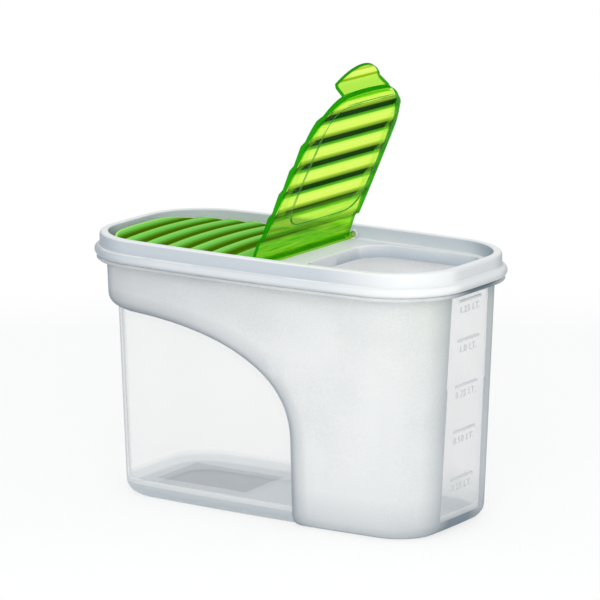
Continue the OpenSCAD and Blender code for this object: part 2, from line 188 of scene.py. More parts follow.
def rounded(corners, steps):
    # a closed section given as (x, z, radius), with each corner turned to an arc
    points = []
    count = len(corners)
    for i, (x, z, radius) in enumerate(corners):
        here = Vector((x, z))
        before = Vector(corners[i - 1][:2]) - here
        after = Vector(corners[(i + 1) % count][:2]) - here
        if radius <= 0:
            points.append((x, z))
            continue
        half = before.angle(after) / 2
        reach = min(radius / tan(half), before.length * 0.49, after.length * 0.49)
        start = here + before.normalized() * reach
        end = here + after.normalized() * reach
        for j in range(steps + 1):
            t = j / steps
            p = start.lerp(here, t).lerp(here.lerp(end, t), t)
            points.append((p.x, p.y))
    return points


def ringFaces(rows, columns, closeRows=False):
    faces = []
    for j in range(rows if closeRows else rows - 1):
        k = (j + 1) % rows
        for i in range(columns):
            n = (i + 1) % columns
            faces.append((j * columns + i, j * columns + n, k * columns + n, k * columns + i))
    return faces


def latheAlongY(name, section, center, steps=64):
    # turns a closed section of (radius, y) round the hinge's axis
    points = [(center[0] + r * cos(2 * pi * i / steps), y, center[1] + r * sin(2 * pi * i / steps))
              for r, y in section for i in range(steps)]
    return meshFrom(name, points, ringFaces(len(section), steps, closeRows=True))


def geometryTree(name, sockets):
    tree = bpy.data.node_groups.new(name, "GeometryNodeTree")
    for label, kind in [("Geometry", "Geometry")] + sockets + [("Material", "Material")]:
        tree.interface.new_socket(label, in_out="INPUT", socket_type="NodeSocket" + kind)
    tree.interface.new_socket("Geometry", in_out="OUTPUT", socket_type="NodeSocketGeometry")
    return tree, addNode(tree, "NodeGroupInput").outputs


def endTree(tree, geometry, material):
    real = addNode(tree, "GeometryNodeRealizeInstances", {"Geometry": geometry})
    painted = addNode(tree, "GeometryNodeSetMaterial", {"Geometry": real, "Material": material})
    addNode(tree, "NodeGroupOutput", {"Geometry": painted})


def bake(mesh, tree, values):
    # runs the tree on the mesh and gives the result as a plain mesh
    thing = addObject(mesh.name, mesh)
    modifier = thing.modifiers.new(tree.name, "NODES")
    modifier.node_group = tree
    for item in tree.interface.items_tree:
        if item.in_out == "INPUT" and item.name in values:
            modifier[item.identifier] = values[item.name]
    graph = bpy.context.evaluated_depsgraph_get()
    result = bpy.data.meshes.new_from_object(thing.evaluated_get(graph))
    bpy.data.objects.remove(thing)
    bpy.data.meshes.remove(mesh)
    return result


def joined(name, meshes, second=None):
    # one mesh out of several, with their named values kept in step with their points;
    # the part numbered second, counted from 1, takes the second material
    values = {label: [] for label in ("plain", "through", "edge", "ring")}
    bm = bmesh.new()
    for number, mesh in enumerate(meshes, 1):
        for label, numbers in values.items():
            layer = mesh.attributes.get(label)
            numbers += [item.value for item in layer.data] if layer else [0.0] * len(mesh.vertices)
            if layer:
                mesh.attributes.remove(layer)
        start = len(bm.faces)
        bm.from_mesh(mesh)
        bm.faces.ensure_lookup_table()
        for face in bm.faces[start:]:
            face.material_index = 1 if number == second else 0
    out = bpy.data.meshes.new(name)
    bm.to_mesh(out)
    bm.free()
    for label, numbers in values.items():
        if any(numbers):
            putValues(out, label, numbers)
    return out


def turned(mesh, matrix):
    mesh.transform(matrix)
    return mesh


# materials

polypropyleneIor = 1.49


def newMaterial(name):
    material = bpy.data.materials.new(name)
    material.use_nodes = True
    tree = material.node_tree
    tree.nodes.clear()
    return material, tree, addNode(tree, "ShaderNodeTexCoord").outputs["Object"]


def layered(tree, color, layers):
    # lays colours over a first one, each by its own share
    for share, tone in layers:
        color = addNode(tree, "ShaderNodeMix", {"Factor": share, "A": color, "B": hexColor(tone)},
                        data_type="RGBA")
    return color


def seenEdgeOn(tree, start, full=1.0):
    # 0 where a wall faces the eye, 1 where it is seen edge-on
    facing = addNode(tree, "ShaderNodeLayerWeight", {"Blend": 0.5}).outputs["Facing"]
    return addNode(tree, "ShaderNodeMapRange", [facing, start, full])


def closePlastic(tree, color, gloss, passed, tint, glow=0):
    # gloss over the colour, light that soaks through by the share glow, the rest straight through
    body = addNode(tree, "ShaderNodeBsdfPrincipled", {"Base Color": color, **gloss})
    if glow:
        soaked = addNode(tree, "ShaderNodeBsdfTranslucent", {"Color": color})
        body = addNode(tree, "ShaderNodeMixShader", [glow, body, soaked])
    gap = addNode(tree, "ShaderNodeBsdfTransparent", {"Color": tint})
    surface = addNode(tree, "ShaderNodeMixShader", [passed, body, gap])
    addNode(tree, "ShaderNodeOutputMaterial", {"Surface": surface})


frosted = dict(light="#FFFFFF", shade="#F5F6F6", band="#8D9BA6", paintedGrazingShade="#A6B2BC",
               tint="#FCFDFD", awayFrom=0.62, grain=0.9, cloud=38.46, depth=0.2, bump=0.10,
               roughness=0.42, glow=0.55, seeThrough=0.05)


def frostedPolypropylene():
    # polypropylene from an etched mould: milky, light soaks through it, and the gloss is broken up;
    # the real etching is too fine to show, so its grain is drawn coarser
    material, tree, place = newMaterial("frosted_polypropylene_etched_mould")
    grain = addNode(tree, "ShaderNodeTexNoise", {"Vector": place, "Scale": 1000 / frosted["grain"],
                                                 "Detail": 3.0, "Roughness": 0.7})
    cloud = addNode(tree, "ShaderNodeTexNoise", {"Vector": place, "Scale": 1000 / frosted["cloud"],
                                                 "Detail": 2.0})
    both = addNode(tree, "ShaderNodeMix", {"Factor": 0.5, "A": grain, "B": cloud},
                   data_type="FLOAT")
    color = addNode(tree, "ShaderNodeValToRGB", [both],
                    stops=[(0.38, frosted["shade"]), (0.55, frosted["light"])])
    # painted shade: the colour greys where a wall is seen edge-on, and by the band share towards
    # the recess, beside the scale's strip, under the lid, at the back end and at the foot
    band = addNode(tree, "ShaderNodeAttribute", attribute_name="band").outputs["Fac"]
    color = layered(tree, color, [
        (seenEdgeOn(tree, frosted["awayFrom"]), frosted["paintedGrazingShade"]), (band, frosted["band"])])
    bump = addNode(tree, "ShaderNodeBump", {"Height": grain, "Strength": frosted["bump"],
                                            "Distance": frosted["depth"] * mm})
    closePlastic(tree, color, {"Roughness": frosted["roughness"], "IOR": polypropyleneIor,
                               "Normal": bump}, frosted["seeThrough"], hexColor(frosted["tint"]),
                 frosted["glow"])
    return material


clear = dict(tint="#FEFEFE", milk="#FFFFFF", edge="#7F8E9A", edgeFrom=0.6, edgeFull=0.95, haze=0.12,
             rim=0.85, roughness=0.10, shine=0.12, flow=(3.846, 3.846, 111.1), depth=0.3, bump=0.05)


def clearPolypropylene():
    # the same plastic from a polished mould: nearly clear, a little hazy, with faint upright flow
    # lines;
    # painted shade: drawn dark blue-grey and less clear where seen edge-on
    material, tree, place = newMaterial("clear_polypropylene_polished_mould")
    flow = addNode(tree, "ShaderNodeMapping", {
        "Vector": place, "Scale": [1000 / size for size in clear["flow"]]})
    lines = addNode(tree, "ShaderNodeTexNoise", {"Vector": flow, "Scale": 1.0, "Detail": 2.0})
    wave = addNode(tree, "ShaderNodeBump", {"Height": lines, "Strength": clear["bump"],
                                            "Distance": clear["depth"] * mm})
    edge = seenEdgeOn(tree, clear["edgeFrom"], clear["edgeFull"])
    color = layered(tree, hexColor(clear["milk"]), [(edge, clear["edge"])])
    passed = addNode(tree, "ShaderNodeMapRange", {
        "Value": edge, "To Min": 1 - clear["haze"], "To Max": 1 - clear["rim"]})
    closePlastic(tree, color, {"Roughness": clear["roughness"], "IOR": polypropyleneIor,
                               "Specular IOR Level": clear["shine"], "Normal": wave},
                 passed, hexColor(clear["tint"]))
    return material


base = dict(shade="#95A2AD", floor="#CDD5DA", corner="#FFFFFF", tint="#FFFFFF", low=3.6, high=4.4,
            roughness=0.35, glow=0.5, seeThrough=0.35, middle=(-48.0, 7.0), reach=(27.0, 18.0),
            cloud=16.67, wander=0.12)


def basePolypropylene():
    # the thick base of the tub: milky enough to hide what is under it; painted highlight: drawn
    # white where it turns up
    material, tree, place = newMaterial("milky_polypropylene_base")
    height = addNode(tree, "ShaderNodeSeparateXYZ", [place]).outputs["Z"]
    # painted highlight: inside faces are drawn white where the floor turns up into the wall
    rise = addNode(tree, "ShaderNodeMapRange", [height, base["low"] * mm, base["high"] * mm])
    inside = addNode(tree, "ShaderNodeAttribute", attribute_name="inside").outputs["Fac"]
    rise = addNode(tree, "ShaderNodeMath", [rise, inside], operation="MULTIPLY")
    # painted shade: the middle of the floor, away from the light that its corners gather, is drawn
    # greyer
    middle = addNode(tree, "ShaderNodeMapping", {
        "Vector": place, "Scale": [1000 / run for run in base["reach"]] + [0.0],
        "Location": [-at / run for at, run in zip(base["middle"], base["reach"])] + [0.0]})
    off = addNode(tree, "ShaderNodeVectorMath", [middle], operation="ABSOLUTE")
    off = addNode(tree, "ShaderNodeSeparateXYZ", [off])
    off = addNode(tree, "ShaderNodeMath", [off.outputs["X"], off.outputs["Y"]], operation="MAXIMUM")
    cloud = addNode(tree, "ShaderNodeTexNoise", {"Vector": place, "Scale": 1000 / base["cloud"],
                                                 "Detail": 2.0})
    off = addNode(tree, "ShaderNodeMath", [cloud, base["wander"], off], operation="MULTIPLY_ADD")
    flat = addNode(tree, "ShaderNodeValToRGB", [off],
                   stops=[(0.94, base["shade"]), (1.0, base["floor"])])
    color = layered(tree, flat, [(rise, base["corner"])])
    closePlastic(tree, color, {"Roughness": base["roughness"], "IOR": polypropyleneIor},
                 base["seeThrough"], hexColor(base["tint"]), base["glow"])
    return material


satin = dict(light="#E9EAEA", shade="#E3E5E6", well="#A9B4BE", paintedGrazingShade="#7E8C97", awayFrom=0.3,
             cloud=28.57, grain=0.7143, depth=0.2, bump=0.05, roughness=0.34, uneven=0.06)


def whitePolypropylene():
    # opaque white polypropylene, satin from the mould, with faint unevenness where it cooled;
    # its grain is drawn a little coarser than the real one
    material, tree, place = newMaterial("white_polypropylene_satin_moulded")
    cloud = addNode(tree, "ShaderNodeTexNoise", {"Vector": place, "Scale": 1000 / satin["cloud"],
                                                 "Detail": 3.0})
    color = addNode(tree, "ShaderNodeValToRGB", [cloud],
                    stops=[(0.3, satin["shade"]), (0.7, satin["light"])])
    # painted shade: walls seen edge-on are drawn greyer, level faces are not
    normal = addNode(tree, "ShaderNodeNewGeometry").outputs["Normal"]
    up = addNode(tree, "ShaderNodeSeparateXYZ", [normal]).outputs["Z"]
    level = addNode(tree, "ShaderNodeMath", [up, up], operation="MULTIPLY")
    upright = addNode(tree, "ShaderNodeMath", [1.0, level], operation="SUBTRACT")
    away = addNode(tree, "ShaderNodeMath", [seenEdgeOn(tree, satin["awayFrom"]), upright],
                   operation="MULTIPLY")
    # painted shade: the well share greys the well's walls, the opening's skirt and the outer skirt
    well = addNode(tree, "ShaderNodeAttribute", attribute_name="well").outputs["Fac"]
    color = layered(tree, color, [(well, satin["well"]), (away, satin["paintedGrazingShade"])])
    grain = addNode(tree, "ShaderNodeTexNoise", {"Vector": place, "Scale": 1000 / satin["grain"],
                                                 "Detail": 2.0})
    bump = addNode(tree, "ShaderNodeBump", {"Height": grain, "Strength": satin["bump"],
                                            "Distance": satin["depth"] * mm})
    rough = addNode(tree, "ShaderNodeMapRange", {"Value": cloud,
                                                 "To Min": satin["roughness"] - satin["uneven"],
                                                 "To Max": satin["roughness"] + satin["uneven"]})
    surface = addNode(tree, "ShaderNodeBsdfPrincipled", {
        "Base Color": color, "Roughness": rough, "IOR": polypropyleneIor, "Normal": bump})
    addNode(tree, "ShaderNodeOutputMaterial", {"Surface": surface})
    return material


# streak: how long the light and dark streaks are along, across and through a sheet
styrene = dict(roughness=0.08, ior=1.57, shine=0.5, open=0.985, closed=0.65, edge="#2FAE10",
               plain="#D3F58A", through="#FBFFF2", streak=(1.42857, 20.0, 14.2857), depth=0.3,
               bump=0.08)


def tintedStyrene(name, look):
    # clear green styrene, polished mould; its bands are painted light and shade: glowing where
    # light comes through, near-black where a rib bends it
    material, tree, place = newMaterial(name)
    local = addNode(tree, "ShaderNodeMapping", {"Vector": place, "Location": look["location"],
                                                "Rotation": look["turn"]})
    x = addNode(tree, "ShaderNodeSeparateXYZ", [local]).outputs["X"]
    phase = addNode(tree, "ShaderNodeMath", [
        x, 1 / (look["pitch"] * mm), 0.5 - look["firstRib"] / look["pitch"]],
        operation="MULTIPLY_ADD")
    phase = addNode(tree, "ShaderNodeMath", [phase], operation="FRACT")
    bands = addNode(tree, "ShaderNodeValToRGB", [phase], stops=look["bands"])
    drawn = addNode(tree, "ShaderNodeMapping", {
        "Vector": local, "Scale": [1000 / size for size in styrene["streak"]]})
    streaks = addNode(tree, "ShaderNodeTexNoise", {"Vector": drawn, "Scale": 1.0, "Detail": 3.0,
                                                   "Roughness": 0.6})
    plain = addNode(tree, "ShaderNodeValToRGB", [streaks], stops=look["tail"])
    plainShare, through, edge, ring = (
        addNode(tree, "ShaderNodeAttribute", attribute_name=label).outputs["Fac"]
        for label in ("plain", "through", "edge", "ring"))
    # how far the bands stand out from the plain colour on the way up the sheet, and in its margin
    along = addNode(tree, "ShaderNodeMath", [x, 1 / (look["reach"] * mm)], operation="MULTIPLY")
    strength = addNode(tree, "ShaderNodeValToRGB", [along], stops=look["strength"])
    if look["margin"] < 1:
        inner = addNode(tree, "ShaderNodeMath", [ring, 1 - look["margin"], look["margin"]],
                        operation="MULTIPLY_ADD")
        strength = addNode(tree, "ShaderNodeMath", [strength, inner], operation="MULTIPLY")
    color = addNode(tree, "ShaderNodeMix", {"Factor": strength, "A": plain, "B": bands},
                    data_type="RGBA")
    # one face of a sheet carries its tint, so that its bands stay sharp through the other;
    # painted light and shade: the edge share draws the sheets' edges and the plug ring's lines in
    # the edge colour
    color = layered(tree, color, [(plainShare, styrene["plain"]), (through, styrene["through"]),
                                  (edge, look.get("edge", styrene["edge"]))])
    passed = addNode(tree, "ShaderNodeMath", [
        strength, look["fade"], look["seeThrough"] - look["fade"]], operation="MULTIPLY_ADD")
    lighter = addNode(tree, "ShaderNodeMath", [plainShare, through], operation="MAXIMUM")
    passed = addNode(tree, "ShaderNodeMix", {"Factor": lighter, "A": passed, "B": styrene["open"]},
                     data_type="FLOAT")
    shut = addNode(tree, "ShaderNodeMath", [edge, -styrene["closed"], 1.0],
                   operation="MULTIPLY_ADD")
    passed = addNode(tree, "ShaderNodeMath", [passed, shut], operation="MULTIPLY")
    shine = look.get("shine", styrene["shine"])
    if shine:
        shine = addNode(tree, "ShaderNodeMath", [edge, -shine, shine], operation="MULTIPLY_ADD")
    wave = addNode(tree, "ShaderNodeBump", {"Height": streaks, "Strength": styrene["bump"],
                                            "Distance": styrene["depth"] * mm})
    closePlastic(tree, color, {"Roughness": styrene["roughness"], "IOR": styrene["ior"],
                               "Specular IOR Level": shine, "Normal": wave},
                 passed, color, look["glow"])
    return material


print("materials made")

# geometry trees

def sweepTree():
    # carries a closed section round a closed path
    tree, given = geometryTree("pathSweep", [("Section", "Object")])
    path = addNode(tree, "GeometryNodeMeshToCurve", {"Mesh": given["Geometry"]})
    info = addNode(tree, "GeometryNodeObjectInfo", {"Object": given["Section"]})
    section = addNode(tree, "GeometryNodeMeshToCurve", {"Mesh": info.outputs["Geometry"]})
    level = addNode(tree, "GeometryNodeSetCurveNormal", {"Curve": path}, mode="Z_UP")
    swept = addNode(tree, "GeometryNodeCurveToMesh", {"Curve": level, "Profile Curve": section})
    endTree(tree, swept, given["Material"])
    return tree


def ribTree():
    # lifts a flat sheet into ribs along x, then arches it from side to side
    tree, given = geometryTree("ribbedSheet", [
        (label, "Float") for label in ("First Rib", "Pitch", "Step", "Slope", "Arch")])
    spot = addNode(tree, "ShaderNodeSeparateXYZ", [addNode(tree, "GeometryNodeInputPosition")])
    x, y = spot.outputs["X"], spot.outputs["Y"]
    slope, pitch = given["Slope"], given["Pitch"]
    up, down = (addNode(tree, "ShaderNodeMath", [given["Step"], half], operation="MULTIPLY")
                for half in (0.5, -0.5))
    start = addNode(tree, "ShaderNodeMath", [slope, -0.5, given["First Rib"]],
                    operation="MULTIPLY_ADD")
    past = addNode(tree, "ShaderNodeMath", [x, start], operation="SUBTRACT")
    phase = addNode(tree, "ShaderNodeMath", [past, pitch], operation="FLOORED_MODULO")
    riser = addNode(tree, "ShaderNodeMapRange", [phase, 0.0, slope, up, down])
    tread = addNode(tree, "ShaderNodeMapRange", [phase, slope, pitch, down, up])
    lead = addNode(tree, "ShaderNodeMapRange", [x, 0.0, start, down, up])
    lift = tread
    for value, limit, instead in ((phase, slope, riser), (past, 0.0, lead)):
        test = addNode(tree, "ShaderNodeMath", [value, limit], operation="LESS_THAN")
        lift = addNode(tree, "ShaderNodeMix", {"Factor": test, "A": lift, "B": instead},
                       data_type="FLOAT")
    arch = addNode(tree, "ShaderNodeMath", [y, y], operation="MULTIPLY")
    arch = addNode(tree, "ShaderNodeMath", [arch, given["Arch"]], operation="MULTIPLY")
    lift = addNode(tree, "ShaderNodeMath", [lift, arch], operation="SUBTRACT")
    held = addNode(tree, "GeometryNodeInputNamedAttribute", {"Name": "held"}, data_type="FLOAT")
    free = addNode(tree, "ShaderNodeMath", [1.0, held], operation="SUBTRACT")
    lift = addNode(tree, "ShaderNodeMath", [lift, free], operation="MULTIPLY")
    offset = addNode(tree, "ShaderNodeCombineXYZ", {"Z": lift})
    moved = addNode(tree, "GeometryNodeSetPosition", {"Geometry": given["Geometry"],
                                                      "Offset": offset})
    endTree(tree, moved, given["Material"])
    return tree


def scatterTree():
    # puts one copy of a small part on every point, leant back by the wall's draft
    tree, given = geometryTree("fillMarks", [("Bar", "Object"), ("Draft", "Float")])
    info = addNode(tree, "GeometryNodeObjectInfo", {"Object": given["Bar"]})
    lean = addNode(tree, "ShaderNodeCombineXYZ", {"Y": given["Draft"]})
    placed = addNode(tree, "GeometryNodeInstanceOnPoints", {
        "Points": given["Geometry"], "Instance": info.outputs["Geometry"], "Rotation": lean})
    endTree(tree, placed, given["Material"])
    return tree


pathSweep, ribbedSheet, fillMarksTree = sweepTree(), ribTree(), scatterTree()


def sweep(name, path, z, section, material, crisp):
    # path: outline points; section: (outwards, up) from the path at height z
    helper = addObject(name + "Section",
                       loopMesh(name + "Section", [(u, -v, 0) for u, v in section]))
    mesh = bake(loopMesh(name, [(x, y, z) for x, y in path]), pathSweep,
                {"Section": helper, "Material": material})
    bpy.data.objects.remove(helper)
    smoothBy(mesh, crisp)
    return mesh


print("geometry trees built")

# tub

recessX = tub["gripStart"] - tub["topLength"] / 2
recessRun = tub["gripReach"] - recessX
recessRise = tub["gripTop"] - tub["gripStraight"]


def edgeX(z):
    share = max(z - tub["gripStraight"], 0) / recessRise
    return recessX + recessRun * max(0, 1 - share ** tub["fullness"]) ** (1 / tub["fullness"])


def edgeZ(x):
    share = max(x - recessX, 0) / recessRun
    return tub["gripStraight"] + recessRise * max(0, 1 - share ** tub["fullness"]) ** (
        1 / tub["fullness"])


def recessDistance(x, z):
    # distance in the side view from the grip recess's edge, 0 inside the recess
    u, v, n = max(x - recessX, 0), max(z - tub["gripStraight"], 0), tub["fullness"]
    f = ((u / recessRun) ** n + (v / recessRise) ** n) ** (1 / n)
    return 0 if f <= 1 else (1 - 1 / f) * hypot(u, v)


def recessShare(x, z):
    # 1 inside the grip recess, falling to 0 over its rounded shoulder
    d = recessDistance(x, z) / tub["shoulder"]
    return 0 if d >= 1 else 1 - sqrt(1 - (1 - d) ** 2)


tubPaintedShade = dict(recessPower=2.2, strip=0.55, stripPower=1.3, underLid=0.25, lidFrom=72.0,
               lidRun=36.0, backShare=0.5, backRun=150.0, foot=0.4, footRun=18.0)


def paintedShadeShare(x, y, z):
    # painted shade: the frosted skin is drawn greyer towards the recess, beside the strip with the
    # scale, under the lid, most at the back end, and at the foot
    g = tubPaintedShade
    near = max(0, 1 - recessDistance(x, z) / tub["band"]) ** g["recessPower"]
    if x > 0 and abs(y) < tub["strip"] + tub["band"]:
        beside = max(0, 1 - (abs(y) - tub["strip"]) / tub["band"]) ** g["stripPower"]
        near = max(near, g["strip"] * beside)
    underLid = g["underLid"] * (clamped((z - g["lidFrom"]) / g["lidRun"])
                                * clamped(g["backShare"] - x / g["backRun"]))
    foot = g["foot"] * max(0, 1 - z / g["footRun"])
    return 1 - (1 - near) * (1 - underLid) * (1 - foot)


# the mesh follows the recess's edge: rings sink with it at the back, columns lean with it below
turnX = recessX + 0.9 * recessRun
turnZ = edgeZ(turnX)
columnStart = 0.92 * (tub["topCorner"] - tub["topLength"] / 2)
shoulderSteps = [t * tub["shoulder"] for t in (
    -1.1, -0.6, -0.25, -0.08, 0, 0.02, 0.06, 0.12, 0.2, 0.3, 0.42, 0.55, 0.7, 0.85, 1)]
firstColumn = tub["gripReach"] + shoulderSteps[0]
lastColumn = tub["gripReach"] + tub["shoulder"]
columns = [mix(columnStart, firstColumn, i / 14) for i in range(14)]
columns += [tub["gripReach"] + d for d in shoulderSteps]
columns += [mix(lastColumn, -columnStart, i / 7) for i in range(1, 8)]


def across(size, corner):
    # points across an end: the strip with the scale keeps its width, so its edges are mesh rows
    edge = tub["strip"] / (tub[size] / 2 - tub[corner])
    outer = 1 - 0.4 * (1 - edge)
    return [-outer, -edge, -edge * 0.66, -edge * 0.33, 0, edge * 0.33, edge * 0.66, edge, outer]


acrossBase, acrossTop = across("baseWidth", "baseCorner"), across("topWidth", "topCorner")


def leaning(z):
    shift = edgeX(min(z, turnZ)) - tub["gripReach"]
    places = []
    for x in columns:
        share = 1
        if x < firstColumn:
            share = (x - columnStart) / (firstColumn - columnStart)
        elif x > lastColumn:
            share = (columnStart + x) / (columnStart + lastColumn)
        places.append((x + share * shift) / (tub["topLength"] / 2 - tub["topCorner"]))
    return places


def tubRing(back, front, off):
    # a ring of the drafted wall at height back at the back end and front elsewhere
    along = leaning(front)
    sink = (back - front) / (tub["gripTop"] - turnZ)
    ring = []
    for low, high in zip(baseOutline(off, along, acrossBase), rimOutline(off, along, acrossTop)):
        z = back - sink * (
            tub["gripTop"] - edgeZ(min(mix(low[0], high[0], back / flangeBase), turnX)))
        t = min(z, flangeBase) / flangeBase
        x, y = mix(low[0], high[0], t), mix(low[1], high[1], t)
        s = recessShare(x, z)
        ring.append((x + s * max(-x, 0) * tub["gripDepthEnd"] * 2 / tub["topLength"],
                     y * (1 - s * tub["gripDepthSide"] * 2 / tub["topWidth"]), z, s))
    return ring


def rimRing(off, z):
    return [(x, y, z, 0) for x, y in rimOutline(off, leaning(flangeBase), acrossTop)]


def wallHeights():
    top, base = tub["gripTop"], tub["baseRound"]
    low = [(mix(base, tub["gripStraight"], t / 5),) * 2 for t in range(1, 6)]
    lean = [(mix(tub["gripStraight"], top + shoulderSteps[0], t / 10),
             mix(tub["gripStraight"], turnZ + shoulderSteps[0], t / 10)) for t in range(1, 11)]
    shoulder = [(top + d, turnZ + d) for d in shoulderSteps[1:]]
    high = [(mix(top + tub["shoulder"], flangeBase, t / 4),
             mix(turnZ + tub["shoulder"], flangeBase, t / 4)) for t in range(1, 4)]
    return low + lean + shoulder + high


def makeTub():
    heights = wallHeights()
    foot, wall, lipTop = tub["footInset"], tub["wall"], tub["height"]
    lipOut, lipIn = tub["lipStep"], tub["lipStep"] - tub["lipWall"]
    flange, baseRound, floorRound = tub["flangeWidth"], tub["baseRound"], tub["floorRound"]
    steps = 9
    arc = [pi / 2 * i / steps for i in range(steps + 1)]
    rings = [tubRing(z, z, off) for z, off in (
        (tub["footHeight"], -foot - 0.5), (tub["footHeight"] - 0.4, -foot), (0.3, -foot),
        (0, -foot + 0.5))]
    rings += [tubRing(baseRound * (1 - cos(a)), baseRound * (1 - cos(a)), baseRound * (sin(a) - 1))
              for a in arc]
    lowWall = len(rings) - 1
    rings += [tubRing(back, front, 0) for back, front in heights]
    outside = len(rings)
    rings += [rimRing(off, z) for off, z in (
        (0, flangeBase - 0.5), (0.5, flangeBase), (flange - 0.35, flangeBase),
        (flange, flangeBase + 0.35), (flange, flangeTop - 0.35), (flange - 0.35, flangeTop),
        (lipOut + 0.3, flangeTop), (lipOut, flangeTop + 0.3), (lipOut, lipTop - 0.3),
        (lipOut - 0.25, lipTop), (lipIn + 0.25, lipTop), (lipIn, lipTop - 0.3),
        (lipIn, flangeTop + 0.3), (-wall + 0.5, flangeTop), (-wall, flangeTop - 0.5))]
    inside = len(rings)
    rings += [tubRing(back, front, -wall) for back, front in reversed(heights)]
    floorTop = tub["footHeight"] + tub["floor"]
    for a in arc:
        z = floorTop + floorRound * (1 - sin(a))
        rings.append(tubRing(z, z, -wall - floorRound * (1 - cos(a))))
    count = len(rings[0])
    points = [p for ring in rings for p in ring]
    faces = ringFaces(len(rings), count)
    faces += [tuple(range(count - 1, -1, -1)), tuple(range(len(points) - count, len(points)))]
    mesh = meshFrom("tub", [p[:3] for p in points], faces)
    putValues(mesh, "band", [paintedShadeShare(*p[:3]) for p in points])
    putValues(mesh, "inside", [float(i >= inside * count) for i in range(len(points))])
    for material in (frostedPolypropylene(), clearPolypropylene(), basePolypropylene()):
        mesh.materials.append(material)
    # polished areas: the recess, the strip with the scale, and everything on the inside
    for face in mesh.polygons:
        row = face.index // count
        corners = [points[i] for i in face.vertices]
        x, y, z = (sum(p[axis] for p in corners) / len(corners) for axis in range(3))
        strip = x > 0 and abs(y) < tub["strip"] and z < flangeBase
        recessed = min(p[3] for p in corners) > 0.999
        if row < lowWall and x < tub["gripReach"] or row > len(rings) - 2 - steps:
            face.material_index = 2
        elif (lowWall <= row < outside and (recessed or strip)) or row > inside - 2:
            face.material_index = 1
    smoothBy(mesh, 50)
    return addObject("tub_shell", mesh)


tubShell = makeTub()
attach(tubShell, "tub")
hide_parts("tub")
print("tub made", len(tubShell.data.polygons))

# fill scale

marks = dict(heights=[24.5, 46.2, 67.0, 87.6, 105.5],
             labels=["0.25 LT.", "0.50 LT.", "0.75 LT.", "1.0 LT.", "1.25 LT."], length=18.0,
             bar=1.3, relief=0.35, chamfer=0.6, sink=0.3, textSize=4.3, textSpacing=1.2,
             textDrop=5.4, textRelief=0.12, light="#E4E6E7", shade="#D3D7DA", tint="#FCFDFD",
             grain=0.7692, roughness=0.4, seeThrough=0.5)
wallDraft = atan2((tub["topLength"] - tub["baseLength"]) / 2, flangeBase)


def wallX(z):
    return mix(tub["baseLength"], tub["topLength"], z / flangeBase) / 2


def scalePlastic():
    # raised marks on the polished strip: their etched faces catch light greyer than the wall;
    # the grain is drawn coarser than the real one
    material, tree, place = newMaterial("polypropylene_raised_scale")
    grain = addNode(tree, "ShaderNodeTexNoise", {"Vector": place, "Scale": 1000 / marks["grain"],
                                                 "Detail": 2.0})
    color = addNode(tree, "ShaderNodeValToRGB", [grain],
                    stops=[(0.35, marks["shade"]), (0.65, marks["light"])])
    closePlastic(tree, color, {"Roughness": marks["roughness"], "IOR": polypropyleneIor},
                 marks["seeThrough"], hexColor(marks["tint"]))
    return material


def labelMesh(label, z):
    # the raised letters, stood up on the leaning wall
    words = bpy.data.curves.new("label", "FONT")
    words.body = label
    words.size = marks["textSize"] * mm
    words.extrude = (marks["textRelief"] + marks["sink"]) / 2 * mm
    words.resolution_u = 3
    words.space_character = marks["textSpacing"]
    words.align_x = "CENTER"
    sign = addObject("label", words)
    mesh = bpy.data.meshes.new_from_object(
        sign.evaluated_get(bpy.context.evaluated_depsgraph_get()))
    bpy.data.objects.remove(sign)
    upright = Matrix(((0, 0, 1, 0), (1, 0, 0, 0), (0, 1, 0, 0), (0, 0, 0, 1)))
    return turned(mesh, Matrix.Translation((wallX(z) * mm, 0, z * mm))
                  @ Matrix.Rotation(wallDraft, 4, "Y") @ upright)


def makeScale():
    plastic = scalePlastic()
    # one bar with chamfered ends, standing out along x
    l, b, r, s = marks["length"] / 2, marks["bar"] / 2, marks["relief"], marks["sink"]
    c = r * marks["chamfer"]
    bar = [(-s, -l, -b), (-s, l, -b), (-s, l, b), (-s, -l, b),
           (r, -l + c, -b + c), (r, l - c, -b + c), (r, l - c, b - c), (r, -l + c, b - c)]
    barObject = addObject("bar", meshFrom("bar", bar, [
        (3, 2, 1, 0), (4, 5, 6, 7), (0, 1, 5, 4), (1, 2, 6, 5), (2, 3, 7, 6), (3, 0, 4, 7)]))
    points = meshFrom("markPoints", [(wallX(z), 0, z) for z in marks["heights"]], [])
    meshes = [bake(points, fillMarksTree, {"Bar": barObject, "Draft": wallDraft,
                                           "Material": plastic})]
    bpy.data.objects.remove(barObject)
    for z, label in zip(marks["heights"], marks["labels"]):
        meshes.append(labelMesh(label, z - marks["textDrop"]))
    mesh = joined("fill_scale", meshes)
    mesh.materials.append(plastic)
    smoothBy(mesh, 30)
    return addObject("fill_scale", mesh)


fillScale = makeScale()
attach(fillScale, "tub")
print("scale made", len(fillScale.data.polygons))

# lid frame

